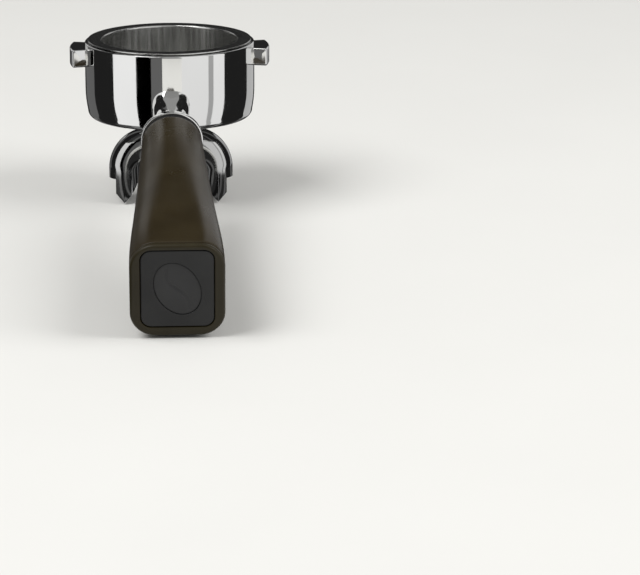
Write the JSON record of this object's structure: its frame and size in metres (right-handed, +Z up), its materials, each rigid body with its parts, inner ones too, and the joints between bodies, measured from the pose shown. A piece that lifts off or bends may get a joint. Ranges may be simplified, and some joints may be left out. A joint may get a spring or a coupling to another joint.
{
  "type": "portafilter",
  "caption": "Espresso portafilter: chromed bowl with bayonet lugs, lift-out filter basket, unscrewing twin spout and a sloping brown handle with an inset end cap.",
  "frame": {"origin": "on the bowl's axis, in the plane of the basket flange that seals against the group head, which holds the part up in use", "axes": "+Z up along the bowl's axis, out of the basket's mouth; the handle runs towards -Y; the bayonet lugs and the two spouts lie along X"},
  "size_m": [0.0856, 0.2222, 0.0817],
  "materials": {
    "chromed_brass": "mirror chrome plate over cast brass",
    "basket_steel": "bright pressed stainless steel",
    "spring_steel": "drawn stainless wire",
    "gasket": "matte pressed fibre",
    "spout_chrome": "mirror chrome plate over cast brass",
    "ferrule_chrome": "mirror",
    "seal_rubber": "matte",
    "core_plastic": "moulded, matte",
    "sleeve_plastic": "satin dark brown",
    "ring_plastic": "satin dark brown",
    "cap_plastic": "satin dark grey",
    "emblem_plastic": "satin grey",
    "fastener_steel": "zinc plated"
  },
  "bodies": {
    "holder": {"filter_holder": "chromed_brass", "ferrule": "ferrule_chrome", "ferrule_seal": "seal_rubber", "grip_core": "core_plastic", "grip_sleeve": "sleeve_plastic", "end_ring": "ring_plastic", "end_cap": "cap_plastic", "cap_emblem": "emblem_plastic", "flat_washer": "fastener_steel", "spring_washer": "fastener_steel", "handle_bolt": "fastener_steel"},
    "clip": {"basket_clip": "spring_steel"},
    "basket": {"filter_basket": "basket_steel"},
    "gasket": {"spout_gasket": "gasket"},
    "spout": {"double_spout": "spout_chrome"}
  },
  "joints": [
    {"name": "basket_turn", "type": "hinge", "parent": "holder", "child": "clip", "pos_m": [0, 0, -0.0074], "axis": [0, 0, 1], "continuous": true},
    {"name": "basket_lift", "type": "slide", "parent": "clip", "child": "basket", "axis": [0, 0, 1], "range_m": [0, 0.045]},
    {"name": "gasket_drop", "type": "slide", "parent": "holder", "child": "gasket", "axis": [0, 0, -1], "range_m": [0, 0.00803]},
    {"name": "spout_turn", "type": "hinge", "parent": "gasket", "child": "spout", "pos_m": [0, 0, -0.037], "axis": [0, 0, 1], "range_deg": [0, 2160]}
  ],
  "couplings": [
    {"joint": "gasket_drop", "follows": "spout_turn", "m_per_rad": 0.00021279}
  ]
}
